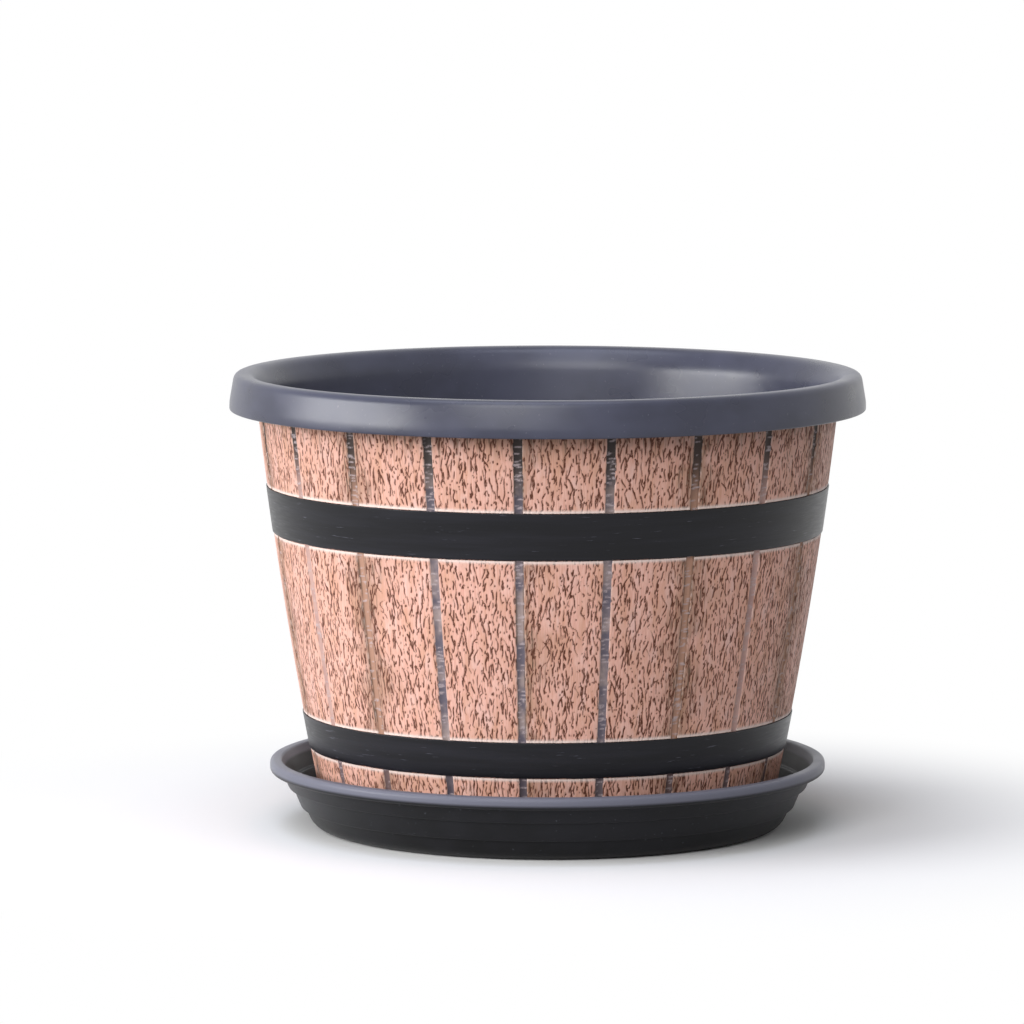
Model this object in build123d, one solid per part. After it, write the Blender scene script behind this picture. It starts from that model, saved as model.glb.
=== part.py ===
from build123d import *
import math
import os

# Barrel planter: a moulded pot faced with twenty staves and two hoops, standing loose in its saucer.
# Millimetres, +Z up. The origin is on the ground, on the axis that the pot and the saucer share.
# The front of the planter, as it is usually seen, faces -Y.

# Pot wall
pot_height = 238.0  # from the pot's foot to the crest of the rim
foot_radius = 119.9  # at the pot's foot
shoulder_radius = 154.9  # at the level of the rim's lower edge
wall_bulge = 2.5  # how far the wall swells past a straight line, half way up
shell_wall = 2.2
pot_floor_wall = 2.6
pot_floor_lift = 4.0  # the floor's underside above the foot
floor_corner_radius = 6.0
foot_corner_bevel = 1.0

# Turned-down rim
rim_overhang = 15.1  # how far the skirt stands out from the staves under it
rim_skirt = 19.3  # from the crest down to the skirt's lower edge
rim_flare = 2.6  # how much narrower the skirt is at the top
rim_band = 4.0  # upright foot of the skirt, below the flare
rim_wall = 2.4
rim_throat_depth = 9.6  # the mouth narrows to the pot's inner wall over this depth
rim_mouth_flare = 5.1575  # and is this much wider at the crest than at the throat
rim_throat_radius = 12.0
rim_inner_corner_radius = 5.0
rim_outer_corner_radius = 3.6
rim_edge_bevel = 0.7

# Drain holes and the notches in the foot that let the water out
drain_count = 4
drain_hole_radius = 6.0
drain_circle_radius = 72.0
notch_width = 16.0
notch_height = 3.0

# Staves
stave_count = 20
first_seam_angle = 12.0  # middle of the first seam, anticlockwise from +X
seam_arc = 1.7  # degrees between two staves
stave_thickness = 1.5
stave_seat_gap = 0.05  # bonding gap behind a stave
stave_end_gap = 0.3
stave_foot_height = 3.5  # lower end of the staves above the pot's foot
stave_top_tuck = 3.0  # upper end of the staves above the skirt's lower edge

# Hoops
upper_hoop_height = 24.8
upper_hoop_drop = 84.6  # lower edge below the crest of the rim
lower_hoop_height = 19.1
lower_hoop_rise = 37.5  # lower edge above the pot's foot
hoop_thickness = 1.4
hoop_proud = 0.6  # how far a hoop stands out from the stave faces
hoop_seat_gap = 0.05
hoop_edge_gap = 0.2
hoop_edge_bevel = 0.4

# Saucer
foot_clearance = 5.8  # between the pot's foot and the saucer's wall
tier_heights = (11.2, 10.5, 8.1)  # of the stepped wall, from the ground up to the lip
lip_depth = 6.6
lip_overhang = 6.5  # how far the lip stands out from the wall under it
lip_outer_corner_radius = 2.6
lip_inner_bevel = 1.0
saucer_wall = 2.4
saucer_slope = 0.42  # how far the wall moves in for each millimetre down
step_width = 2.2  # each tier stands back from the one above it
step_bevel = 0.6
saucer_corner_radius = 7.0
saucer_recess = 0.8  # the middle of the base lies this far above the ground
saucer_land_width = 11.0  # flat ring that the saucer stands on
saucer_floor_wall = 2.2

# Ridges on the saucer's floor
ridge_height = 3.0
seat_ring_width = 8.0
inner_ridge_radii = (48.0, 82.0)
inner_ridge_width = 3.0
channel_width = 10.0  # cut through the ridges so that the water levels out

join_tolerance = 1e-6
largest_rounding = 20.0  # the barrel curves are far larger
rounding_flats = 3  # a small rounding is drawn as this many flats, which keeps the part's mesh light

# Depths, heights and radii that follow from the sizes above
bed_depth = stave_thickness + stave_seat_gap
inner_depth = bed_depth + shell_wall
foot_ring_radius = foot_radius - inner_depth / 2
saucer_floor_height = saucer_recess + saucer_floor_wall
pot_foot_height = saucer_floor_height + ridge_height
crest_height = pot_foot_height + pot_height
skirt_height = crest_height - rim_skirt
rim_radius = shoulder_radius + rim_overhang
pot_floor_underside = pot_foot_height + pot_floor_lift
pot_floor_height = pot_floor_underside + pot_floor_wall
stave_foot = pot_foot_height + stave_foot_height
stave_top = skirt_height + stave_top_tuck
upper_hoop_foot = crest_height - upper_hoop_drop
lower_hoop_foot = pot_foot_height + lower_hoop_rise
step_heights = [sum(tier_heights[:count]) for count in range(1, len(tier_heights))]
lip_foot_height = sum(tier_heights)
saucer_height = lip_foot_height + lip_depth


def barrel_arc_centre():
    """Centre and radius of the arc through the foot, the swollen middle and the shoulder."""
    middle_height = (pot_foot_height + skirt_height) / 2
    half_chord = math.hypot(shoulder_radius - foot_radius, skirt_height - pot_foot_height) / 2
    lean = math.atan2(shoulder_radius - foot_radius, skirt_height - pot_foot_height)
    rise = wall_bulge * math.cos(lean)
    arc_radius = (half_chord**2 + rise**2) / (2 * rise)
    middle_radius = (foot_radius + shoulder_radius) / 2
    reach = arc_radius - rise
    return middle_radius - reach * math.cos(lean), middle_height + reach * math.sin(lean), arc_radius


arc_centre_radius, arc_centre_height, barrel_arc_radius = barrel_arc_centre()


def face_radius(height):
    """Radius of the stave faces at a height."""
    return arc_centre_radius + math.sqrt(barrel_arc_radius**2 - (height - arc_centre_height) ** 2)


def point(radius, height):
    return Vector(radius, 0, height)


def wall_point(height, depth=0.0):
    """A point a set depth behind the stave faces."""
    return point(face_radius(height) - depth, height)


def wall_arc(start_height, end_height, depth=0.0):
    """A stretch of the barrel curve, a set depth behind the stave faces."""
    heights = (start_height, (start_height + end_height) / 2, end_height)
    return ThreePointArc(*[wall_point(height, depth) for height in heights])


def joined(*curves):
    """A closed outline from curves taken in turn, with a straight line across each gap between them."""
    edges = []
    for curve, following in zip(curves, curves[1:] + curves[:1]):
        edges.append(curve)
        if (following @ 0 - curve @ 1).length > join_tolerance:
            edges.append(Line(curve @ 1, following @ 0))
    return make_face(edges)


def corner_at(outline, where):
    return min(outline.vertices(), key=lambda vertex: (Vector(vertex) - where).length)


def rounded(outline, corners):
    """The outline with the corner at each point rounded to its radius."""
    for where, radius in corners:
        outline = fillet(corner_at(outline, where), radius)
    return outline


def flattened(outline):
    """The outline with flats in place of the arc of each small rounding."""
    edges = []
    for edge in outline.edges():
        if edge.geom_type == GeomType.CIRCLE and edge.radius < largest_rounding:
            steps = range(rounding_flats + 1)
            edges += Polyline(*[edge @ (step / rounding_flats) for step in steps]).edges()
        else:
            edges.append(edge)
    return make_face(edges)


def bevelled(outline, corners):
    """The outline with the corner at each point cut back by its bevel."""
    for where, bevel in corners:
        outline = chamfer(corner_at(outline, where), bevel)
    return outline


def spun(outline, degrees=360.0, start=0.0):
    return Rot(0, 0, start) * revolve(outline, Axis.Z, degrees)


def pot_shell():
    """The moulded pot: raised floor, foot, barrel wall with the bed for the staves, turned-down rim."""
    bed_foot = stave_foot - stave_end_gap
    bed_top = stave_top + stave_end_gap
    rim_underside = crest_height - rim_wall
    rim_corner = point(rim_radius - rim_flare, crest_height)
    throat_height = crest_height - rim_throat_depth
    throat = wall_point(throat_height, inner_depth)
    mouth = point(throat.X + rim_mouth_flare, crest_height)
    skirt_edge = point(rim_radius, skirt_height)
    skirt_inner_edge = point(rim_radius - rim_wall, skirt_height)
    outline = joined(
        wall_arc(pot_foot_height, bed_foot),
        wall_arc(bed_foot, bed_top, bed_depth),
        wall_arc(bed_top, rim_underside),
        Line(
            point(rim_corner.X - rim_wall, rim_underside),
            point(rim_radius - rim_wall, skirt_height + rim_band),
        ),
        Line(skirt_inner_edge, skirt_edge),
        Line(point(rim_radius, skirt_height + rim_band), rim_corner),
        Line(mouth, throat),
        wall_arc(throat_height, pot_floor_height, inner_depth),
        Line(point(0, pot_floor_height), point(0, pot_floor_underside)),
        Line(wall_point(pot_floor_underside, inner_depth), wall_point(pot_foot_height, inner_depth)),
    )
    outline = rounded(
        outline,
        [
            (mouth, rim_inner_corner_radius),
            (throat, rim_throat_radius),
            (rim_corner, rim_outer_corner_radius),
            (wall_point(pot_floor_height, inner_depth), floor_corner_radius),
        ],
    )
    outline = bevelled(
        outline,
        [
            (skirt_edge, rim_edge_bevel),
            (skirt_inner_edge, rim_edge_bevel),
            (wall_point(pot_foot_height), foot_corner_bevel),
        ],
    )
    shell = spun(flattened(outline))
    hole = Cylinder(drain_hole_radius, 3 * pot_floor_wall)
    notch = Box(4 * inner_depth, notch_width, 2 * notch_height)
    hole_height = pot_floor_height - pot_floor_wall / 2
    for turn in range(drain_count):
        angle = drain_angle(turn)
        shell -= Rot(0, 0, angle) * Pos(drain_circle_radius, 0, hole_height) * hole
        shell -= Rot(0, 0, angle) * Pos(foot_ring_radius, 0, pot_foot_height) * notch
    return shell


def drain_angle(turn):
    """The drain holes, the notches and the saucer's channels lie between the main axes."""
    return (turn + 0.5) * 360 / drain_count


def stave_outline():
    """Section of a stave, with a rebate across its face for each hoop."""
    rebate_depth = hoop_thickness - hoop_proud + hoop_seat_gap
    hoops = ((lower_hoop_foot, lower_hoop_height), (upper_hoop_foot, upper_hoop_height))
    faces = []
    start = stave_foot
    for hoop_foot, height in hoops:
        rebate_foot = hoop_foot - hoop_edge_gap
        rebate_top = hoop_foot + height + hoop_edge_gap
        faces.append(wall_arc(start, rebate_foot))
        faces.append(wall_arc(rebate_foot, rebate_top, rebate_depth))
        start = rebate_top
    faces.append(wall_arc(start, stave_top))
    return joined(*faces, wall_arc(stave_top, stave_foot, stave_thickness))


def hoop(foot, height):
    """A band let into the staves, following the barrel curve, with its outer edges bevelled."""
    top = foot + height
    outline = joined(wall_arc(foot, top, -hoop_proud), wall_arc(top, foot, hoop_thickness - hoop_proud))
    edges = [(wall_point(level, -hoop_proud), hoop_edge_bevel) for level in (foot, top)]
    return spun(bevelled(outline, edges))


def saucer_radius(height, steps):
    """Outside of the saucer's wall at a height, above that many of its steps.

    The wall leans out from where it clears the pot's foot, and each step adds its width.
    """
    seat_radius = foot_radius + foot_clearance + saucer_wall
    return seat_radius + saucer_slope * (height - pot_foot_height) + steps * step_width


def saucer():
    """The saucer: land, stepped wall, solid lip, and a floor with a seat ring and ridges."""
    base_corner = point(saucer_radius(0, 0), 0)
    recess_radius = base_corner.X - saucer_corner_radius - saucer_land_width
    floor_corner = point(saucer_radius(saucer_floor_height, 0) - saucer_wall, saucer_floor_height)
    outside = [base_corner]
    inside = [floor_corner]
    bevels = []
    for steps, height in enumerate(step_heights):
        ledge_height = height + saucer_wall
        ledge = [point(saucer_radius(height, count), height) for count in (steps, steps + 1)]
        inner_ledge = [
            point(saucer_radius(ledge_height, count) - saucer_wall, ledge_height)
            for count in (steps, steps + 1)
        ]
        outside += ledge
        inside += inner_ledge
        bevels += [(corner, step_bevel) for corner in (ledge[1], inner_ledge[1])]
    steps = len(step_heights)
    lip_root = point(saucer_radius(lip_foot_height, steps), lip_foot_height)
    lip_foot = point(lip_root.X + lip_overhang, lip_foot_height)
    lip_edge = point(lip_foot.X, saucer_height)
    lip_inner = point(saucer_radius(saucer_height, steps) - saucer_wall, saucer_height)
    outside += [lip_root, lip_foot, lip_edge, lip_inner]
    bevels.append((lip_inner, lip_inner_bevel))
    corners = [
        (base_corner, saucer_corner_radius),
        (floor_corner, saucer_corner_radius - saucer_wall),
        (lip_foot, lip_outer_corner_radius),
        (lip_edge, lip_outer_corner_radius),
    ]
    floor_and_recess = [
        point(0, saucer_floor_height),
        point(0, saucer_recess),
        point(recess_radius, saucer_recess),
        point(recess_radius, 0),
    ]
    outline = make_face(Polyline(*outside, *inside[::-1], *floor_and_recess, close=True))
    return spun(flattened(bevelled(rounded(outline, corners), bevels))) + saucer_ridges()


def saucer_ridges():
    """The seat ring under the pot's foot and the rings inside it, with channels cut through them."""
    rings = [(foot_ring_radius, seat_ring_width)]
    rings += [(radius, inner_ridge_width) for radius in inner_ridge_radii]
    root = saucer_floor_height - saucer_floor_wall / 2
    ridges = Part()
    for radius, width in rings:
        outline = Rectangle(width, pot_foot_height - root, align=(Align.CENTER, Align.MIN))
        ridges += spun(Plane.XZ * Pos(radius, root) * outline)
    channel = Box(4 * foot_radius, channel_width, 4 * ridge_height)
    for turn in range(drain_count // 2):
        ridges -= Pos(0, 0, saucer_floor_height) * Rot(0, 0, drain_angle(turn)) * channel
    return ridges


def write(name, shape):
    export_step(shape, f"parts/{name}.step")


os.makedirs("parts", exist_ok=True)
write("saucer", saucer())
write("pot_shell", pot_shell())
write("upper_hoop", hoop(upper_hoop_foot, upper_hoop_height))
write("lower_hoop", hoop(lower_hoop_foot, lower_hoop_height))
pitch = 360 / stave_count
stave_section = stave_outline()
for number in range(stave_count):
    seam = first_seam_angle + number * pitch
    write(f"stave_{number + 1:02d}", spun(stave_section, pitch - seam_arc, seam + seam_arc / 2))
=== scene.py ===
import bpy
import math
import numpy as np
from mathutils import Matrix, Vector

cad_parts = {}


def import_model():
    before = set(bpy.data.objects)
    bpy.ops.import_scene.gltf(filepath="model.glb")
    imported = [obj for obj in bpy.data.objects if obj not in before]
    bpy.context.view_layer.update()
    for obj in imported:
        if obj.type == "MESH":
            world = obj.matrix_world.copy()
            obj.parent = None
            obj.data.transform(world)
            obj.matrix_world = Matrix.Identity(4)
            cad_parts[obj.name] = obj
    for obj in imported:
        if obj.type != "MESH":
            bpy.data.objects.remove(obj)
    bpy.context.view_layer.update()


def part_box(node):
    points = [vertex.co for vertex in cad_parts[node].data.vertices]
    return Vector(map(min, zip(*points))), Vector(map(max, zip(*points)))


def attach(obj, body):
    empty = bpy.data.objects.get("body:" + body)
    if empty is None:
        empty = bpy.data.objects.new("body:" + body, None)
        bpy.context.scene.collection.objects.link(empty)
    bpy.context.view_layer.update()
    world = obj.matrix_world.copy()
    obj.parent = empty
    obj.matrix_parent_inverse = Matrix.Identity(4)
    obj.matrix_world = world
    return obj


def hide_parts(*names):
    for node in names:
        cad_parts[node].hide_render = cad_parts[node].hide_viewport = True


# Barrel planter: a moulded pot with wood-look staves and dark hoops, standing loose in its saucer.
# Sizes are millimetres, turned to metres where a mesh is built. Angles of staves and seams run
# anticlockwise from +X, as in the frame. The front faces -Y.

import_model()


def box_mm(node):
    """Lowest and highest corner of a node of the frame, in millimetres."""
    return 1000 * np.array(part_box(node))


# Heights and reaches that the frame gives
POT_FOOT = box_mm("pot_shell")[0][2]
CREST = box_mm("pot_shell")[1][2]
RIM_RADIUS = min(box_mm("pot_shell")[1][:2])
STAVE_FOOT = box_mm("stave_01")[0][2]
STAVE_TOP = box_mm("stave_01")[1][2]
UPPER_HOOP = box_mm("upper_hoop")[:, 2]
LOWER_HOOP = box_mm("lower_hoop")[:, 2]
LIP_RADIUS = min(box_mm("saucer")[1][:2])
SAUCER_TOP = box_mm("saucer")[1][2]

# Barrel wall
FOOT_RADIUS = 119.9
SHOULDER_RADIUS = 154.9
WALL_BULGE = 2.5
SHELL_WALL = 2.2
BED_DEPTH = 1.55
INNER_DEPTH = BED_DEPTH + SHELL_WALL
FLOOR_LIFT = 4.0
FLOOR_WALL = 2.6

# Turned-down rim
RIM_SKIRT = 19.3
RIM_FLARE = 2.6
RIM_BAND = 4.0
RIM_WALL = 2.4
RIM_TOP_WIDTH = 10.0
RIM_THROAT_DEPTH = 9.6
SKIRT_HEIGHT = CREST - RIM_SKIRT

# Drain holes and notches
DRAIN_COUNT = 4
DRAIN_RADIUS = 6.0
DRAIN_CIRCLE = 72.0
NOTCH_WIDTH = 16.0
NOTCH_HEIGHT = 3.0

# Staves and the seams between them
STAVE_COUNT = 20
FIRST_SEAM = 12.0
SEAM_ARC = 1.7
STAVE_THICKNESS = 1.5
STAVE_PITCH = 360 / STAVE_COUNT
STAVE_ARC = STAVE_PITCH - SEAM_ARC
PATTERN_RADIUS = 140.0  # mean radius of the wall: pattern widths are true there
STAVE_WIDTH = math.radians(STAVE_ARC) * PATTERN_RADIUS

# Hoops
HOOP_THICKNESS = 1.4
HOOP_PROUD = 0.6
REBATE_DEPTH = HOOP_THICKNESS - HOOP_PROUD + 0.05
REBATE_GAP = 0.2

# Saucer
TIER_HEIGHTS = (11.2, 10.5, 8.1)
SAUCER_WALL = 2.4
SAUCER_SLOPE = 0.42
STEP_WIDTH = 2.2
FOOT_CLEARANCE = 5.8
SAUCER_CORNER = 7.0
SAUCER_RECESS = 0.8
SAUCER_LAND = 11.0
SAUCER_FLOOR = 3.0
RIDGE_RADII = (48.0, 82.0)
RIDGE_WIDTH = 3.0
SEAT_RING_WIDTH = 8.0
CHANNEL_WIDTH = 10.0

TURN_STEPS = 400
BACK_STRIPS = 4  # flat strips across the hidden back of a stave or a seam


# Surfaces

def build(name, points, *faces):
    """A mesh from points in millimetres and arrays of faces, each array with faces of one size."""
    mesh = bpy.data.meshes.new(name)
    corners = np.concatenate([group.ravel() for group in faces])
    sizes = np.concatenate([np.full(len(group), group.shape[1]) for group in faces])
    mesh.vertices.add(len(points))
    mesh.vertices.foreach_set("co", (0.001 * points).ravel())
    mesh.loops.add(len(corners))
    mesh.loops.foreach_set("vertex_index", corners)
    mesh.polygons.add(len(sizes))
    mesh.polygons.foreach_set("loop_start", np.cumsum(sizes) - sizes)
    mesh.update(calc_edges=True)
    mesh.shade_smooth()
    mesh.set_sharp_from_angle(angle=math.radians(40))
    return mesh


def add_attribute(mesh, name, values):
    """One value at each point of a mesh, for its material to read."""
    mesh.attributes.new(name, "FLOAT", "POINT").data.foreach_set("value", values.ravel())


def add_uv(mesh, name, across, along):
    """A UV map in millimetres, given at the points."""
    corners = np.empty(len(mesh.loops), dtype=np.int32)
    mesh.loops.foreach_get("vertex_index", corners)
    at_points = np.stack([across.ravel(), along.ravel()], axis=1)
    mesh.uv_layers.new(name=name).uv.foreach_set("vector", at_points[corners].ravel())


def piece(mesh, material, body, slot, *nodes):
    """An object at the origin that rides on a body and stands for these nodes of the frame."""
    made = bpy.data.objects.new(mesh.name, mesh)
    bpy.context.scene.collection.objects.link(made)
    mesh.materials.append(material)
    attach(made, body)
    if nodes:
        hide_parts(*nodes)
    return made


def face_radius(height):
    """Radius of the stave faces: a circle's arc through the foot, the swollen middle and the shoulder.

    With half the chord c and the rise b, the circle's radius is (c squared + b squared) / 2b.
    """
    lean = math.atan2(SHOULDER_RADIUS - FOOT_RADIUS, SKIRT_HEIGHT - POT_FOOT)
    half_chord = math.hypot(SHOULDER_RADIUS - FOOT_RADIUS, SKIRT_HEIGHT - POT_FOOT) / 2
    rise = WALL_BULGE * math.cos(lean)
    arc_radius = (half_chord**2 + rise**2) / (2 * rise)
    reach = arc_radius - rise
    centre_radius = (FOOT_RADIUS + SHOULDER_RADIUS) / 2 - reach * math.cos(lean)
    centre_height = (POT_FOOT + SKIRT_HEIGHT) / 2 + reach * math.sin(lean)
    return centre_radius + np.sqrt(arc_radius**2 - (height - centre_height) ** 2)


def wall_points(start, end, depth, count):
    """Corners along the barrel curve, a set depth behind the stave faces, with no rounding."""
    heights = np.linspace(start, end, count)
    return np.stack([face_radius(heights) - depth, heights, np.zeros(count)], axis=1)


def rounded(corners, closed, steps=6):
    """A profile of (radius, height) from rows of (radius, height, setback).

    Each corner becomes the curve (1-t)^2 before + 2t(1-t) corner + t^2 after, where before and after
    lie on its two sides, a setback away from it.
    """
    corners = np.asarray(corners, dtype=float)
    places = corners[:, :2]
    setback = corners[:, 2:]
    to_last = np.roll(places, 1, axis=0) - places
    to_next = np.roll(places, -1, axis=0) - places
    before = places + setback * to_last / np.linalg.norm(to_last, axis=1, keepdims=True)
    after = places + setback * to_next / np.linalg.norm(to_next, axis=1, keepdims=True)
    t = np.linspace(0, 1, steps)[None, :, None]
    curve = (1 - t) ** 2 * before[:, None] + 2 * t * (1 - t) * places[:, None] + t**2 * after[:, None]
    profile = curve.reshape(-1, 2)
    moved = np.linalg.norm(profile - np.roll(profile, 1, axis=0), axis=1) > 1e-4
    if not closed:
        moved[0] = True
    return profile[moved]


def lathe(name, profile, closed, lift=None):
    """The profile turned about Z: (radius, height) at angle a goes to (radius cos a, radius sin a, height).

    The profile runs outwards along the bottom, up the outside and back in, so that faces point out.
    A closed profile is a ring; an open one starts and ends on the axis, at two poles. lift, where
    given, moves each point up by an amount worked out from its angle and its place in the profile.
    """
    angles = np.arange(TURN_STEPS) * 2 * math.pi / TURN_STEPS
    ring = profile if closed else profile[1:-1]
    radius = np.tile(ring[:, 0], (TURN_STEPS, 1))
    height = np.tile(ring[:, 1], (TURN_STEPS, 1))
    if lift is not None:
        height = height + lift(angles[:, None], ring[None, :, 1])
    around = angles[:, None]
    points = np.stack([radius * np.cos(around), radius * np.sin(around), height], axis=2)
    count = len(ring)
    index = np.arange(TURN_STEPS * count).reshape(TURN_STEPS, count)
    following = np.roll(index, -1, axis=0)
    if closed:
        last, last_following = np.roll(index, -1, axis=1), np.roll(following, -1, axis=1)
        quads = np.stack([index, following, last_following, last], axis=2).reshape(-1, 4)
        return build(name, points.reshape(-1, 3), quads)
    quads = np.stack([index[:, :-1], following[:, :-1], following[:, 1:], index[:, 1:]], axis=2)
    poles = np.array([[0, 0, profile[0, 1]], [0, 0, profile[-1, 1]]])
    low, high = TURN_STEPS * count, TURN_STEPS * count + 1
    low_fan = np.stack([np.full(TURN_STEPS, low), following[:, 0], index[:, 0]], axis=1)
    high_fan = np.stack([np.full(TURN_STEPS, high), index[:, -1], following[:, -1]], axis=1)
    points = np.concatenate([points.reshape(-1, 3), poles])
    return build(name, points, quads.reshape(-1, 4), np.concatenate([low_fan, high_fan]))


def slab(start, arc, heights, faces, back, strips=BACK_STRIPS):
    """Points and faces of a curved slab between two angles, in degrees.

    Its front is the grid of radii in faces, one row for each height. Its back lies at the radii in
    back, on a few strips, and each of its two ends is closed by as many faces.
    """
    columns = faces.shape[1]
    front_angles = np.radians(start + arc * np.linspace(0, 1, columns))
    back_angles = np.radians(start + arc * np.linspace(1, 0, strips + 1))
    angles = np.concatenate([front_angles, back_angles])
    radii = np.concatenate([faces, np.tile(back[:, None], (1, strips + 1))], axis=1)
    rows = len(heights)
    tall = np.tile(heights[:, None], (1, len(angles)))
    points = np.stack([radii * np.cos(angles), radii * np.sin(angles), tall], axis=2).reshape(-1, 3)
    index = np.arange(rows * len(angles)).reshape(rows, -1)
    beside = np.roll(index, -1, axis=1)
    quads = np.stack([index[:-1], beside[:-1], beside[1:], index[1:]], axis=2).reshape(-1, 4)
    span = (columns - 1) // strips
    caps = []
    for strip in range(strips):
        edge = np.arange(strip * span, (strip + 1) * span + 1)
        behind = columns + strips - np.array([strip + 1, strip])
        loop = np.concatenate([edge, behind])
        caps += [index[-1][loop], index[0][loop[::-1]]]
    return points, quads, np.array(caps)


def join(parts):
    """Points and faces of several slabs as one."""
    starts = np.cumsum([0] + [len(points) for points, _, _ in parts[:-1]])
    points = np.concatenate([part[0] for part in parts])
    quads = np.concatenate([part[1] + start for part, start in zip(parts, starts)])
    caps = np.concatenate([part[2] + start for part, start in zip(parts, starts)])
    return points, quads, caps


# Materials

def linear(colour):
    """An sRGB hex colour as linear red, green, blue and alpha."""
    values = np.array([int(colour[place:place + 2], 16) / 255 for place in (1, 3, 5)])
    low = values / 12.92
    high = ((values + 0.055) / 1.055) ** 2.4
    return (*np.where(values <= 0.04045, low, high), 1.0)


def add(tree, kind, inputs=None, **settings):
    """A node with its settings; an input is a value, or the output that it is linked to."""
    node = tree.nodes.new(kind)
    for name, value in settings.items():
        setattr(node, name, value)
    for name, value in (inputs or {}).items():
        if isinstance(value, bpy.types.NodeSocket):
            tree.links.new(value, node.inputs[name])
        else:
            node.inputs[name].default_value = value
    return node


def new_material(name, roughness, **sockets):
    """A material with one Principled shader, whose even values are set on its own sockets."""
    material = bpy.data.materials.new(name)
    material.use_nodes = True
    tree = material.node_tree
    shader = tree.nodes["Principled BSDF"]
    shader.inputs["Roughness"].default_value = roughness
    for socket, value in sockets.items():
        shader.inputs[socket.replace("_", " ")].default_value = value
    return material, tree, shader


def stretched_noise(tree, coordinates, scale, detail=4.0, roughness=0.6):
    """Noise on coordinates that are first scaled, axis by axis, so that it draws out into streaks."""
    drawn = add(tree, "ShaderNodeMapping", {"Vector": coordinates, "Scale": scale})
    inputs = {"Vector": drawn.outputs[0], "Scale": 1.0, "Detail": detail, "Roughness": roughness}
    return add(tree, "ShaderNodeTexNoise", inputs).outputs["Fac"]


def ranged(tree, value, low, high, to_low=0.0, to_high=1.0):
    """The value taken smoothly from one range to another, and held at its ends."""
    inputs = {"Value": value, "From Min": low, "From Max": high, "To Min": to_low, "To Max": to_high}
    return add(tree, "ShaderNodeMapRange", inputs, interpolation_type="SMOOTHSTEP").outputs[0]


def times(tree, first, second):
    """The product of two values."""
    return add(tree, "ShaderNodeMath", {0: first, 1: second}, operation="MULTIPLY").outputs[0]


def mixed(tree, factor, first, second):
    """One colour over another; a colour is hex or the output of a node."""
    colours = [linear(colour) if isinstance(colour, str) else colour for colour in (first, second)]
    inputs = {"Factor": factor, 6: colours[0], 7: colours[1]}
    return add(tree, "ShaderNodeMix", inputs, data_type="RGBA").outputs[2]


def bumped(tree, shader, height, distance):
    """Fine relief at full strength; the distance is in metres."""
    inputs = {"Height": height, "Distance": distance, "Strength": 1.0}
    normal = add(tree, "ShaderNodeBump", inputs).outputs[0]
    tree.links.new(normal, shader.inputs["Normal"])


def stave_foil():
    """Wood-look transfer foil, hot-pressed onto moulded polypropylene.

    Salmon pink with fine upright streaks and tan patches, short open pores in dark brown, olive-brown
    stain that runs in lines beside some seams, the same brown under the rim as stain and painted shade
    from the rim, and a satin gloss that pores break.
    Its patterns lie on a map in millimetres.
    """
    material, tree, shader = new_material("wood_look_foil_satin", 0.5, IOR=1.46, Specular_IOR_Level=0.3)
    grain = add(tree, "ShaderNodeUVMap", uv_map="grain").outputs[0]
    pore = add(tree, "ShaderNodeAttribute", attribute_name="pore").outputs["Fac"]
    stain_and_shade = add(tree, "ShaderNodeAttribute", attribute_name="stain_and_shade").outputs["Fac"]
    pale = add(tree, "ShaderNodeAttribute", attribute_name="pale_edge").outputs["Fac"]
    streak = stretched_noise(tree, grain, (1.9, 0.10, 1.0))
    cloud = stretched_noise(tree, grain, (0.11, 0.030, 1.0), detail=3.0)
    bloom = stretched_noise(tree, grain, (0.16, 0.05, 2.0), detail=3.0)
    speck = stretched_noise(tree, grain, (0.8, 0.45, 1.0), detail=5.0, roughness=0.7)
    run = stretched_noise(tree, grain, (0.75, 0.045, 3.0), detail=4.0, roughness=0.7)
    colour = mixed(tree, ranged(tree, streak, 0.36, 0.64), "#e6ac99", "#f6c4b4")
    colour = mixed(tree, ranged(tree, cloud, 0.42, 0.68, 0.0, 0.50), colour, "#d39c7c")
    colour = mixed(tree, ranged(tree, bloom, 0.50, 0.72, 0.0, 0.50), colour, "#f4cec6")
    # brown stain beside the seams; under the rim the same brown is partly painted shade
    colour = mixed(tree, times(tree, stain_and_shade, 0.72), colour, "#94735a")
    lines = ranged(tree, run, 0.50, 0.60)
    colour = mixed(tree, times(tree, lines, ranged(tree, stain_and_shade, 0.12, 0.55, 0.0, 0.85)), colour, "#503c2a")
    halo = ranged(tree, pore, -0.60, -0.05, 0.0, 0.34)
    colour = mixed(tree, times(tree, halo, ranged(tree, speck, 0.35, 0.60)), colour, "#a86f5a")
    inside = ranged(tree, pore, -0.12, 0.10)
    colour = mixed(tree, times(tree, inside, ranged(tree, speck, 0.28, 0.55, 0.50, 1.0)), colour, "#5c3324")
    colour = mixed(tree, pale, colour, "#f8e2d9")
    tree.links.new(colour, shader.inputs["Base Color"])
    tree.links.new(ranged(tree, pore, -0.2, 0.1, 0.46, 0.7), shader.inputs["Roughness"])
    bumped(tree, shader, streak, 0.00012)
    return material


PAINTED_LIP_LIGHT_HEIGHT = 0.032  # metres: above this height the saucer's lip is painted paler, as light from above


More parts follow.
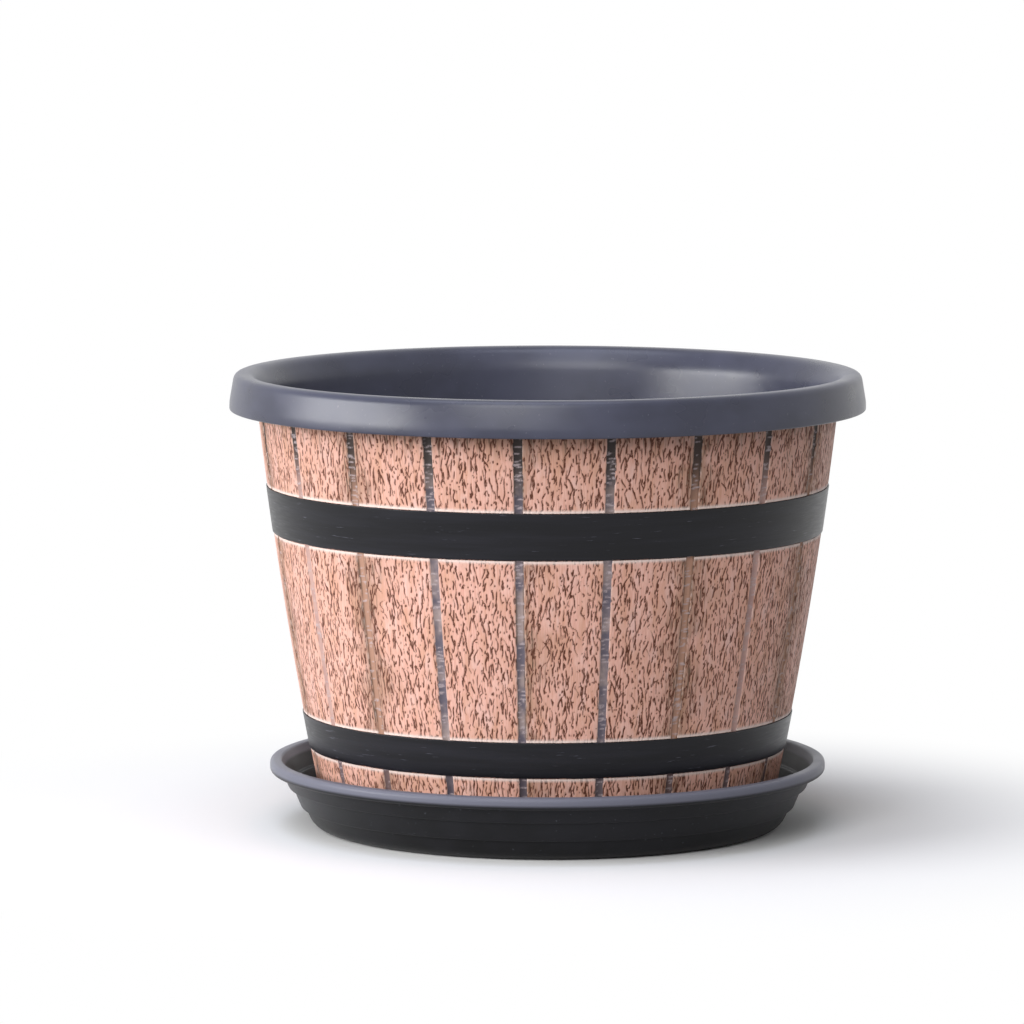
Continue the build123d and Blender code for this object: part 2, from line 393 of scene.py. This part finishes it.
def moulded_plastic(name, dark, light, roughness, gloss, painted_light_above=None):
    """Injection-moulded polypropylene, coloured in the mass.

    A soft satin sheen, a grain of about a third of a millimetre from the mould's eroded face, slow
    changes of tone, and small pale specks of dust. The grain is drawn coarser than life so as to
    show. Above a height in metres, where one is given, the plastic is painted a paler grey, standing
    in for light from above and sky sheen.
    """
    material, tree, shader = new_material(name, roughness, Specular_IOR_Level=gloss)
    place = add(tree, "ShaderNodeTexCoord").outputs["Object"]
    eroded = stretched_noise(tree, place, (2600.0, 2600.0, 2600.0), detail=2.0)
    cloud = stretched_noise(tree, place, (22.0, 22.0, 30.0), detail=3.0)
    dust = stretched_noise(tree, place, (620.0, 620.0, 620.0), detail=2.0, roughness=0.5)
    colour = mixed(tree, ranged(tree, cloud, 0.35, 0.65), dark, light)
    if painted_light_above:
        height = add(tree, "ShaderNodeSeparateXYZ", {0: place}).outputs[2]
        # painted light: above this height the up-facing lip is painted paler grey, as light from above and
        # sheen
        painted_lip_light = ranged(tree, height, painted_light_above - 0.001, painted_light_above + 0.001)
        colour = mixed(tree, painted_lip_light, colour, "#6f707d")
    colour = mixed(tree, ranged(tree, dust, 0.70, 0.76, 0.0, 0.25), colour, "#8a8c98")
    tree.links.new(colour, shader.inputs["Base Color"])
    rough = ranged(tree, cloud, 0.3, 0.7, roughness - 0.04, roughness + 0.04)
    tree.links.new(rough, shader.inputs["Roughness"])
    bumped(tree, shader, eroded, 0.00004)
    return material


def hoop_plastic():
    """Moulded polypropylene, scored along the band to look like drawn iron.

    Nearly black and low in gloss, with a few thin level scratches of grey.
    """
    material, tree, shader = new_material("scored_black_polypropylene", 0.34, Specular_IOR_Level=0.22)
    place = add(tree, "ShaderNodeTexCoord").outputs["Object"]
    streak = stretched_noise(tree, place, (75.0, 75.0, 1100.0), detail=3.0)
    broad = stretched_noise(tree, place, (7.0, 7.0, 120.0), detail=3.0)
    colour = mixed(tree, ranged(tree, broad, 0.40, 0.70), "#17171b", "#212127")
    colour = mixed(tree, ranged(tree, streak, 0.66, 0.76, 0.0, 0.8), colour, "#5c5c68")
    tree.links.new(colour, shader.inputs["Base Color"])
    tree.links.new(ranged(tree, streak, 0.4, 0.7, 0.36, 0.30), shader.inputs["Roughness"])
    bumped(tree, shader, streak, 0.00006)
    return material


def seam_filler():
    """The pot's moulded ground between two staves, scuffed and dusty.

    Painted shade from the rim darkens it under the rim. Mauve grey between the hoops with short pale
    cross ticks, and darker below.
    Some seams are tan with the foil's colour, and on some the foil has run across and left them pale.
    """
    material, tree, shader = new_material("scuffed_seam_polypropylene", 0.6, Specular_IOR_Level=0.3)
    place = add(tree, "ShaderNodeTexCoord").outputs["Object"]
    height = add(tree, "ShaderNodeSeparateXYZ", {0: place}).outputs[2]
    tick = add(tree, "ShaderNodeAttribute", attribute_name="tick").outputs["Fac"]
    tan = add(tree, "ShaderNodeAttribute", attribute_name="tan").outputs["Fac"]
    pale = add(tree, "ShaderNodeAttribute", attribute_name="pale").outputs["Fac"]
    edge = add(tree, "ShaderNodeAttribute", attribute_name="edge").outputs["Fac"]
    speck = stretched_noise(tree, place, (900.0, 900.0, 700.0), detail=4.0, roughness=0.7)
    blur = stretched_noise(tree, place, (60.0, 60.0, 60.0), detail=3.0)
    band_foot, band_top = 0.001 * LOWER_HOOP[1], 0.001 * UPPER_HOOP[1]
    colour = mixed(tree, ranged(tree, blur, 0.38, 0.62), "#655e69", "#a5938f")
    colour = mixed(tree, tan, colour, "#b48a75")
    colour = mixed(tree, times(tree, pale, 0.62), colour, "#dcaea1")
    colour = mixed(tree, times(tree, edge, ranged(tree, blur, 0.35, 0.55)), colour, "#54402f")
    colour = mixed(tree, ranged(tree, height, band_foot, band_foot - 0.02, 0.0, 0.75), colour, "#4c4550")
    # painted shade: the stretch under the overhanging rim is darkened towards #2a221f
    painted_rim_shade = ranged(tree, height, band_top - 0.006, band_top + 0.030, 0.0, 0.96)
    colour = mixed(tree, painted_rim_shade, colour, "#2a221f")
    colour = mixed(tree, times(tree, tick, ranged(tree, speck, 0.35, 0.55, 0.1, 0.75)), colour, "#c4b4b6")
    tree.links.new(colour, shader.inputs["Base Color"])
    bumped(tree, shader, speck, 0.0002)
    return material


# Staves

def row_heights(start, end, spacing):
    """Even heights from start to end, as near to a spacing apart as fits."""
    return np.linspace(start, end, max(2, round((end - start) / spacing) + 1))


ROW_SPACING = 0.75
COLUMNS = 109
COLUMN_SPACING = STAVE_WIDTH / (COLUMNS - 1)
EDGE_ROUNDING = 0.8


def stave_rows():
    """Heights up a stave and how far its face lies back at each, with a rebate behind each hoop."""
    heights = []
    depths = []
    start = STAVE_FOOT
    for hoop_foot, hoop_top in (LOWER_HOOP, UPPER_HOOP):
        rebate = np.array([hoop_foot - REBATE_GAP, hoop_top + REBATE_GAP])
        face = row_heights(start, rebate[0], ROW_SPACING)
        heights += [face, np.linspace(rebate[0], rebate[1], 5)]
        depths += [np.zeros(len(face)), np.full(5, REBATE_DEPTH)]
        start = rebate[1]
    face = row_heights(start, STAVE_TOP, ROW_SPACING)
    heights.append(face)
    depths.append(np.zeros(len(face)))
    return np.concatenate(heights), np.concatenate(depths)


STROKE_SPACING = (1.85, 3.4)  # between pores, across and along the grain
STROKE_LENGTH = (0.5, 8.0)
STROKE_HALF_WIDTH = (0.20, 0.42)
STROKE_STEPS = 26
KNOT_COUNT = 4
KNOT_PUSH = 2.0
KNOT_REACH = (7.0, 14.0)


def pore_paths(rng):
    """Places along each pore, across and along the grain, and its half width there.

    A pore starts at a point of a jittered grid and runs up the grain. It leans, wavers as a sine and
    hooks over as the cube of the way along it. Knots push it aside by a bell curve of its distance.
    """
    reach = np.array([STAVE_WIDTH, STAVE_TOP - STAVE_FOOT])
    counts = np.ceil(reach / STROKE_SPACING).astype(int)
    grid = np.stack(np.meshgrid(np.arange(counts[0]), np.arange(counts[1])), axis=2).reshape(-1, 2)
    starts = (grid + rng.uniform(-0.2, 1.2, grid.shape)) * STROKE_SPACING
    chance = rng.uniform(0, 1, (7, len(starts), 1))
    t = np.linspace(0, 1, STROKE_STEPS)[None, :]
    length = STROKE_LENGTH[0] + (STROKE_LENGTH[1] - STROKE_LENGTH[0]) * chance[0] ** 1.9
    lean = rng.normal(0, 0.15, (len(starts), 1))
    waver = 0.35 * chance[1] * np.sin(2 * math.pi * ((0.4 + 0.9 * chance[2]) * t + chance[3]))
    hook = np.where(chance[4] < 0.35, 3.2 * (chance[5] - 0.5), 0.0) * t**3
    along = starts[:, 1:] + length * (t - 0.5)
    across = starts[:, :1] + lean * length * t + np.minimum(1, length / 4) * (waver + hook)
    widest = STROKE_HALF_WIDTH[0] + (STROKE_HALF_WIDTH[1] - STROKE_HALF_WIDTH[0]) * chance[6]
    half = widest * np.sqrt(np.clip(1 - (2 * t - 1) ** 4, 0, 1))
    knots = rng.uniform((4, 8), reach - (4, 8), (KNOT_COUNT, 2))
    for knot_across, knot_along in knots:
        side = np.tanh((across - knot_across) / 1.2)
        near = np.exp(-((across - knot_across) / KNOT_REACH[0]) ** 2)
        level = np.exp(-((along - knot_along) / KNOT_REACH[1]) ** 2)
        across = across + KNOT_PUSH * side * near * level
    return across, along, half


def nearest_stroke(across, along, half, columns, heights, spacing):
    """For each grid point, the greatest of half width less distance, over the strokes' places.

    It is positive inside a stroke. Each place reaches the few grid points round it.
    """
    field = np.full((len(heights), columns), -1.0)
    across, along, half = across.ravel(), along.ravel(), half.ravel()
    column = np.rint(across / spacing).astype(int)
    row = np.searchsorted(heights, along)
    for row_step in (-2, -1, 0, 1):
        for column_step in (-2, -1, 0, 1, 2):
            at_row, at_column = row + row_step, column + column_step
            inside = (at_row >= 0) & (at_row < len(heights)) & (at_column >= 0) & (at_column < columns)
            at_row, at_column = at_row[inside], at_column[inside]
            gap = np.hypot(across[inside] - at_column * spacing, along[inside] - heights[at_row])
            np.maximum.at(field, (at_row, at_column), half[inside] - gap)
    return field


def smooth_random(rng, positions, reach, waves=9):
    """A random line of sines with waves no shorter than reach, between about -1 and 1."""
    lengths = rng.uniform(reach, 6 * reach, (waves, 1))
    phases = rng.uniform(0, 2 * math.pi, (waves, 1))
    return np.sin(2 * math.pi * positions[None, :] / lengths + phases).sum(axis=0) / math.sqrt(waves)


STAIN_REACH = (1.0, 6.0)  # beside a clean seam and beside a stained one
STAIN_STRENGTH = (0.35, 1.0)
# reach of the darkening under the rim, which is partly stain and partly painted shade
RIM_SHADE_AND_STAIN_REACH = 7.0
TOP_STAIN = 0.14  # all over the short stretch between the rim and the upper hoop


def seam_stain_and_rim_shade(rng, from_left, heights, stained):
    """Stain that is strongest at the seams and dies away over a few millimetres.

    Its strength is exp(-distance / reach), with a reach that wanders up the stave. The stave's left
    and right seams are stained or not. The stretch under the rim always darkens, partly as stain and
    partly as painted shade from the rim.
    """
    stain_and_shade = np.zeros((len(heights), len(from_left)))
    for marked, distance in zip(stained, (from_left, STAVE_WIDTH - from_left)):
        wander = smooth_random(rng, heights, 12.0)[:, None]
        reach = np.clip(STAIN_REACH[marked] * (1 + 0.45 * wander), 0.4, None)
        stain_and_shade = np.maximum(stain_and_shade, STAIN_STRENGTH[marked] * np.exp(-distance[None, :] / reach))
    ragged = np.clip(RIM_SHADE_AND_STAIN_REACH * (1 + 0.4 * smooth_random(rng, from_left, 3.0)), 2.0, None)
    # darkening under the rim: partly stain, partly painted shade from the rim's overhang
    rim_shade_and_stain = np.exp(-(STAVE_TOP - 2.5 - heights[:, None]) / ragged[None, :])
    high = TOP_STAIN * np.clip((heights[:, None] - UPPER_HOOP[1]) / 8, 0, 1)
    return np.maximum(stain_and_shade, np.maximum(high, 0.9 * np.clip(rim_shade_and_stain, 0, 1)))


def stained_sides(number):
    """Whether a stave is stained at its left seam and at its right one.

    Every other seam is stained, and one in three of those on one of its sides only.
    """
    right_seam = number + 1
    return number % 2 == 0, right_seam % 2 == 0 and right_seam % 6 != 2


PORE_DEPTH = 0.22
HOOP_PALE_REACH = 2.0  # a pale line on the foil above and below a hoop, which fades out over its last stretch
HOOP_PALE_FADE = 0.9
EDGE_WEAR_REACH = 0.45
FOIL_STEP = (61.0, 307.0)  # the foil's pattern moves on by this, across and along, at each stave
STAVE_SEED = 100


def staves():
    """The 20 facings, each a grid bent round the barrel curve.

    A face's radius is the barrel curve's, less the rebate behind a hoop, less a quarter round at each
    long edge, less a dent wherever a pore lies.
    """
    material = stave_foil()
    heights, depths = stave_rows()
    from_left = np.linspace(0, STAVE_WIDTH, COLUMNS)
    from_edge = np.minimum(from_left, STAVE_WIDTH - from_left)
    turned = 1 - np.clip(from_edge / EDGE_ROUNDING, 0, 1)
    edge_drop = EDGE_ROUNDING * 0.6 * (1 - np.sqrt(1 - turned**2))
    hoop_edges = np.concatenate([LOWER_HOOP, UPPER_HOOP])
    from_hoop = np.abs(heights[:, None] - hoop_edges[None, :]).min(axis=1)
    pale_hoop = np.where(depths > 0, 0.0, np.clip((HOOP_PALE_REACH - from_hoop) / HOOP_PALE_FADE, 0, 1))
    back_left = from_left[::-(COLUMNS // BACK_STRIPS)]
    for number in range(STAVE_COUNT):
        rng = np.random.default_rng(STAVE_SEED + number)
        across, along, half = pore_paths(rng)
        pore = nearest_stroke(across, along + STAVE_FOOT, half, COLUMNS, heights, COLUMN_SPACING)
        # stain beside the seams, and under the rim stain together with painted shade
        stain_and_shade = seam_stain_and_rim_shade(rng, from_left, heights, stained_sides(number))
        dent = PORE_DEPTH * np.clip((pore + 0.15) / 0.4, 0, 1)
        radii = face_radius(heights)[:, None] - depths[:, None] - edge_drop[None, :] - dent
        back = face_radius(heights) - STAVE_THICKNESS
        start = FIRST_SEAM + number * STAVE_PITCH + SEAM_ARC / 2
        mesh = build(f"stave_facing_{number + 1:02d}", *slab(start, STAVE_ARC, heights, radii, back))
        wander = np.clip(0.2 + 0.4 * smooth_random(rng, heights, 2.5), 0, 0.6)
        wear = np.exp(-from_edge / EDGE_WEAR_REACH)[None, :] * wander[:, None]
        pale = np.maximum(0.9 * pale_hoop[:, None], wear)
        behind = np.zeros((len(heights), len(back_left)))
        add_attribute(mesh, "pore", np.concatenate([pore, behind - 1], axis=1))
        add_attribute(mesh, "stain_and_shade", np.concatenate([stain_and_shade, behind], axis=1))
        add_attribute(mesh, "pale_edge", np.concatenate([pale, behind], axis=1))
        uv_across = np.concatenate([from_left, back_left])[None, :] + FOIL_STEP[0] * number
        uv_along = heights[:, None] + FOIL_STEP[1] * number
        shape = (len(heights), COLUMNS + len(back_left))
        add_uv(mesh, "grain", np.broadcast_to(uv_across, shape), np.broadcast_to(uv_along, shape))
        piece(mesh, material, "pot", "stave_foil", f"stave_{number + 1:02d}")


SEAM_COLUMNS = 9
SEAM_ROW_SPACING = 0.7
SEAM_DEPTH = (0.35, 0.95)  # of the groove at its edges and at its middle
SEAM_OVERLAP = 0.1  # degrees that the filler runs in behind each stave's rounded edge
TICK_SHARE = 0.34  # of the rows
TICK_HEIGHT = 0.18
SEAM_SEED = 500


def seams():
    """The ground between the staves: a shallow groove, with short cross ticks standing up in it.

    The groove's depth falls off from its middle as the square of the way to its edge. Of each six
    seams one is pale and two are tan. Every other seam has a dark line at each side.
    """
    heights = row_heights(STAVE_FOOT + 0.2, STAVE_TOP - 0.2, SEAM_ROW_SPACING)
    across = np.linspace(-1, 1, SEAM_COLUMNS)
    arc = SEAM_ARC + 2 * SEAM_OVERLAP
    groove = SEAM_DEPTH[0] + (SEAM_DEPTH[1] - SEAM_DEPTH[0]) * (1 - across**2)
    ones = np.ones((len(heights), SEAM_COLUMNS))
    parts = []
    marks = {"tick": [], "tan": [], "pale": [], "edge": []}
    for number in range(STAVE_COUNT):
        rng = np.random.default_rng(SEAM_SEED + number)
        rungs = rng.uniform(0, 1, (len(heights), 1)) < TICK_SHARE
        reach = rng.uniform(0.2, 1.1, (len(heights), 1))
        middle = rng.uniform(-0.7, 0.7, (len(heights), 1))
        tick = rungs * np.clip(2.2 * (reach - np.abs(across[None, :] - middle)), 0, 1)
        radii = face_radius(heights)[:, None] - groove[None, :] + TICK_HEIGHT * tick
        back = face_radius(heights) - BED_DEPTH + 0.02
        start = FIRST_SEAM + number * STAVE_PITCH - arc / 2
        parts.append(slab(start, arc, heights, radii, back))
        tan = ones * (number % 6 in (0, 4))
        pale = ones * (number % 6 == 5)
        edge = ones * np.clip(3 * np.abs(across) - 1.7, 0, 1) * (number % 2 == 0)
        for name, values in (("tick", tick), ("tan", tan), ("pale", pale), ("edge", edge)):
            marks[name].append(np.pad(values, ((0, 0), (0, BACK_STRIPS + 1))).ravel())
    mesh = build("seam_filler", *join(parts))
    for name, values in marks.items():
        add_attribute(mesh, name, np.concatenate(values))
    piece(mesh, seam_filler(), "pot", "pot_plastic")


# Hoops

def hoop(name, foot, top, material):
    """A band let into the staves, its edges drawn in by up to 0.35 mm, as a sum of three sines."""
    middle = np.linspace(foot, top, 9)[1:-1]
    inside = face_radius(np.array([top, foot])) - HOOP_THICKNESS + HOOP_PROUD
    corners = [(inside[1], foot, 0.0), (face_radius(foot) + HOOP_PROUD, foot, 0.45)]
    corners += [(face_radius(height) + HOOP_PROUD, height, 0.0) for height in middle]
    corners += [(face_radius(top) + HOOP_PROUD, top, 0.45), (inside[0], top, 0.0)]
    halfway = (foot + top) / 2

    def waver(angles, heights):
        """How far points move up: not at all halfway up the band, and inwards at both its edges."""
        side = (heights - halfway) / (top - halfway)
        waves = np.sin(23 * angles) + 0.8 * np.sin(41 * angles + 1) + 0.7 * np.sin(67 * angles + 2)
        inward = 0.07 * (2.5 + waves) * np.where(side < 0, 1.0, 0.6)
        return -np.sign(side) * np.abs(side) ** 6 * inward

    mesh = lathe(f"{name}_band", rounded(corners, closed=True), True, lift=waver)
    piece(mesh, material, "pot", "hoop_plastic", name)


# Pot

def drain_angles():
    """Directions of the drain holes, the foot's notches and the saucer's channels, in radians."""
    return np.radians(45 + 90 * np.arange(DRAIN_COUNT))


def cutters():
    """Upright prisms for the drain holes and blocks for the notches, as one mesh to cut with."""
    sides = 48
    around = np.arange(sides) * 2 * math.pi / sides
    points = []
    walls = []
    ends = []
    for angle in drain_angles():
        first = len(points) * 2 * sides
        centre = DRAIN_CIRCLE * np.array([math.cos(angle), math.sin(angle)])
        ring = centre + DRAIN_RADIUS * np.stack([np.cos(around), np.sin(around)], axis=1)
        low = np.column_stack([ring, np.full(sides, POT_FOOT + 1)])
        high = np.column_stack([ring, np.full(sides, POT_FOOT + 12)])
        points.append(np.concatenate([low, high]))
        side = np.arange(sides)
        beside = np.roll(side, -1)
        walls.append(first + np.stack([side, beside, beside + sides, side + sides], axis=1))
        ends += [first + side[::-1], first + side + sides]
    blocks = []
    corner = np.array([[-1, -1], [1, -1], [1, 1], [-1, 1]])
    for place, angle in enumerate(drain_angles()):
        first = DRAIN_COUNT * 2 * sides + 8 * place
        along = np.array([math.cos(angle), math.sin(angle)])
        across = np.array([-along[1], along[0]])
        centre = (FOOT_RADIUS - INNER_DEPTH / 2) * along
        flat = centre + corner[:, :1] * 2 * INNER_DEPTH * along + corner[:, 1:] * NOTCH_WIDTH / 2 * across
        for height in (POT_FOOT - 2, POT_FOOT + NOTCH_HEIGHT):
            points.append(np.column_stack([flat, np.full(4, height)]))
        sides_of_block = [(0, 1, 5, 4), (1, 2, 6, 5), (2, 3, 7, 6), (3, 0, 4, 7), (3, 2, 1, 0), (4, 5, 6, 7)]
        blocks.append(first + np.array(sides_of_block))
    faces = (np.concatenate(walls), np.array(ends), np.concatenate(blocks))
    mesh = build("cutter", np.concatenate(points), *faces)
    made = bpy.data.objects.new("cutter", mesh)
    bpy.context.scene.collection.objects.link(made)
    return made


def pot(material):
    """The moulded pot: floor, foot, barrel wall with the bed for the staves, and the turned-down rim."""
    bed_foot = STAVE_FOOT - 0.3
    bed_top = STAVE_TOP + 0.3
    underside = POT_FOOT + FLOOR_LIFT
    floor = underside + FLOOR_WALL
    throat = CREST - RIM_THROAT_DEPTH
    rim_corner = RIM_RADIUS - RIM_FLARE
    inner_foot = face_radius(POT_FOOT) - INNER_DEPTH
    corners = [
        [(0, underside, 0), (face_radius(underside) - INNER_DEPTH, underside, 0), (inner_foot, POT_FOOT, 0)],
        [(FOOT_RADIUS, POT_FOOT, 1.0)],
        wall_points(POT_FOOT + 1.5, bed_foot, 0, 3),
        wall_points(bed_foot, bed_top, BED_DEPTH, 40),
        wall_points(bed_top, CREST - RIM_WALL, 0, 4),
        [(rim_corner - RIM_WALL, CREST - RIM_WALL, 1.2)],
        [(RIM_RADIUS - RIM_WALL, SKIRT_HEIGHT + RIM_BAND, 1.0)],
        [(RIM_RADIUS - RIM_WALL, SKIRT_HEIGHT, 0.9), (RIM_RADIUS, SKIRT_HEIGHT, 0.9)],
        [(RIM_RADIUS, SKIRT_HEIGHT + RIM_BAND, 2.0), (rim_corner, CREST, 3.6)],
        [(rim_corner - RIM_TOP_WIDTH, CREST, 4.2)],
        [(face_radius(throat) - INNER_DEPTH, throat, 3.4)],
        wall_points(throat - 6, floor + 10, INNER_DEPTH, 36),
        [(face_radius(floor) - INNER_DEPTH, floor, 6.0), (0, floor, 0)],
    ]
    corners = np.concatenate([np.array(group, dtype=float) for group in corners])
    mesh = lathe("pot", rounded(corners, closed=False), False)
    made = piece(mesh, material, "pot", "pot_plastic", "pot_shell")
    cutter = cutters()
    cut = made.modifiers.new("drain holes and notches", "BOOLEAN")
    cut.operation = "DIFFERENCE"
    cut.solver = "EXACT"
    cut.object = cutter
    graph = bpy.context.evaluated_depsgraph_get()
    made.data = bpy.data.meshes.new_from_object(made.evaluated_get(graph))
    made.modifiers.clear()
    bpy.data.objects.remove(cutter)
    made.data.shade_smooth()
    made.data.set_sharp_from_angle(angle=math.radians(40))


# Saucer

def saucer_radius(height, steps):
    """Outside of the saucer's wall at a height, above that many of its steps."""
    seat_radius = FOOT_RADIUS + FOOT_CLEARANCE + SAUCER_WALL
    return seat_radius + SAUCER_SLOPE * (height - POT_FOOT) + steps * STEP_WIDTH


def saucer(material):
    """The saucer: flat land, stepped wall, solid lip and plain floor. Its rings are another piece."""
    lip_foot = sum(TIER_HEIGHTS)
    base = saucer_radius(0, 0)
    recess = base - SAUCER_CORNER - SAUCER_LAND
    outside = [(0, SAUCER_RECESS, 0), (recess, SAUCER_RECESS, 0), (recess, 0, 0.3), (base, 0, SAUCER_CORNER)]
    inside = [(saucer_radius(SAUCER_FLOOR, 0) - SAUCER_WALL, SAUCER_FLOOR, SAUCER_CORNER - SAUCER_WALL)]
    for steps in range(len(TIER_HEIGHTS) - 1):
        height = sum(TIER_HEIGHTS[:steps + 1])
        outside += [(saucer_radius(height, steps + place), height, 0.5 + 0.2 * place) for place in (0, 1)]
        ledge = height + SAUCER_WALL
        inside += [(saucer_radius(ledge, count) - SAUCER_WALL, ledge, 0.7) for count in (steps, steps + 1)]
    steps = len(TIER_HEIGHTS) - 1
    outside += [(saucer_radius(lip_foot, steps), lip_foot, 0.5), (LIP_RADIUS, lip_foot, 2.6)]
    outside += [(LIP_RADIUS, SAUCER_TOP, 2.6)]
    outside += [(saucer_radius(SAUCER_TOP, steps) - SAUCER_WALL, SAUCER_TOP, 1.2)]
    corners = outside + inside[::-1] + [(0, SAUCER_FLOOR, 0)]
    mesh = lathe("saucer_tray", rounded(corners, closed=False), False)
    piece(mesh, material, "saucer", "saucer_plastic", "saucer")


def ridges(material):
    """Rings on the saucer's floor, each cut through in four places so that the water levels out."""
    seat = FOOT_RADIUS - INNER_DEPTH / 2
    rings = [(seat, SEAT_RING_WIDTH)] + [(radius, RIDGE_WIDTH) for radius in RIDGE_RADII]
    heights = np.array([SAUCER_FLOOR - 0.5, POT_FOOT - 0.3, POT_FOOT])
    softened = np.array([0, 0, 0.3])
    columns = 41
    parts = []
    for radius, width in rings:
        gap = math.degrees(CHANNEL_WIDTH / radius)
        faces = np.tile((radius + width / 2 - softened)[:, None], (1, columns))
        back = radius - width / 2 + softened
        for angle in np.degrees(drain_angles()):
            parts.append(slab(angle + gap / 2, 90 - gap, heights, faces, back, strips=columns - 1))
    mesh = build("saucer_ridges", *join(parts))
    piece(mesh, material, "saucer", "saucer_plastic")


# Light, floor and camera

def soft_light(name, azimuth, elevation, distance, width, height, power, colour="#ffffff"):
    """A rectangular lamp that looks at the planter from an azimuth right of the front, in degrees."""
    light = bpy.data.lights.new(name, "AREA")
    light.shape = "RECTANGLE"
    light.size = width
    light.size_y = height
    light.energy = power
    light.color = linear(colour)[:3]
    made = bpy.data.objects.new(name, light)
    turn, rise = math.radians(azimuth), math.radians(elevation)
    aim = np.array([0, 0, 0.12])
    away = np.array([math.sin(turn) * math.cos(rise), -math.cos(turn) * math.cos(rise), math.sin(rise)])
    made.location = aim + distance * away
    made.rotation_euler = (math.pi / 2 - rise, 0, turn)
    bpy.context.scene.collection.objects.link(made)


def seen_directly(tree):
    """One for rays from the camera, off gloss or through glass, and nought for the light on things."""
    path = add(tree, "ShaderNodeLightPath")
    seen = path.outputs["Is Camera Ray"]
    for name in ("Is Glossy Ray", "Is Transmission Ray"):
        seen = add(tree, "ShaderNodeMath", {0: seen, 1: path.outputs[name]}, operation="MAXIMUM").outputs[0]
    return seen


AMBIENT = 0.26


def world():
    """White where it is seen, and a weak even light on everything."""
    made = bpy.data.worlds.new("studio")
    bpy.context.scene.world = made
    made.use_nodes = True
    tree = made.node_tree
    background = tree.nodes["Background"]
    background.inputs["Color"].default_value = (1, 1, 1, 1)
    strength = ranged(tree, seen_directly(tree), 0.0, 1.0, AMBIENT, 1.0)
    tree.links.new(strength, background.inputs["Strength"])


def floor():
    """A plain pale sheet with the planter's shadow on it, which turns pure white away from it."""
    reach = 6000.0
    corner = np.array([[-reach, -reach, 0], [reach, -reach, 0], [reach, reach, 0], [-reach, reach, 0]])
    mesh = build("floor", corner, np.array([[0, 1, 2, 3]]))
    material, tree, shader = new_material("matte_white_paper", 0.9, Specular_IOR_Level=0.1)
    place = add(tree, "ShaderNodeTexCoord").outputs["Object"]
    away = add(tree, "ShaderNodeVectorMath", {0: place}, operation="LENGTH").outputs["Value"]
    seen = seen_directly(tree)
    tree.links.new(mixed(tree, seen, "#a8a8a8", "#fbfbfb"), shader.inputs["Base Color"])
    white = add(tree, "ShaderNodeEmission", {"Color": (1, 1, 1, 1), "Strength": 1.0}).outputs[0]
    cover = times(tree, seen, ranged(tree, away, 0.17, 0.40))
    sheet = add(tree, "ShaderNodeMixShader", {0: cover, 1: shader.outputs[0], 2: white}).outputs[0]
    tree.links.new(sheet, tree.nodes["Material Output"].inputs["Surface"])
    mesh.materials.append(material)
    made = bpy.data.objects.new("floor", mesh)
    bpy.context.scene.collection.objects.link(made)


def camera():
    """At the photograph's angle: 3.6 m off, a third of a metre above the rim, looking 6.3 degrees down."""
    data = bpy.data.cameras.new("camera")
    data.sensor_width = 36.0
    data.lens = 239.1
    data.clip_end = 50.0
    made = bpy.data.objects.new("camera", data)
    made.location = (-0.01904, -3.6185, 0.57106)
    made.rotation_euler = (math.radians(83.6545), 0, 0)
    bpy.context.scene.collection.objects.link(made)
    bpy.context.scene.camera = made


pot_material = moulded_plastic("charcoal_polypropylene_satin", "#333546", "#3e4052", 0.30, 0.46)
saucer_material = moulded_plastic("dark_polypropylene_satin", "#19191b", "#222226", 0.38, 0.2, PAINTED_LIP_LIGHT_HEIGHT)
band_material = hoop_plastic()

pot(pot_material)
staves()
seams()
hoop("upper_hoop", *UPPER_HOOP, band_material)
hoop("lower_hoop", *LOWER_HOOP, band_material)
saucer(saucer_material)
ridges(saucer_material)

bpy.context.scene.view_settings.view_transform = "Standard"
floor()
world()
soft_light("key", -74, 13, 2.2, 1.9, 0.6, 40)
soft_light("front fill", -15, 32, 3.0, 1.8, 1.8, 42)
soft_light("top", -40, 75, 2.2, 1.6, 1.6, 22, "#e6ecff")
camera()
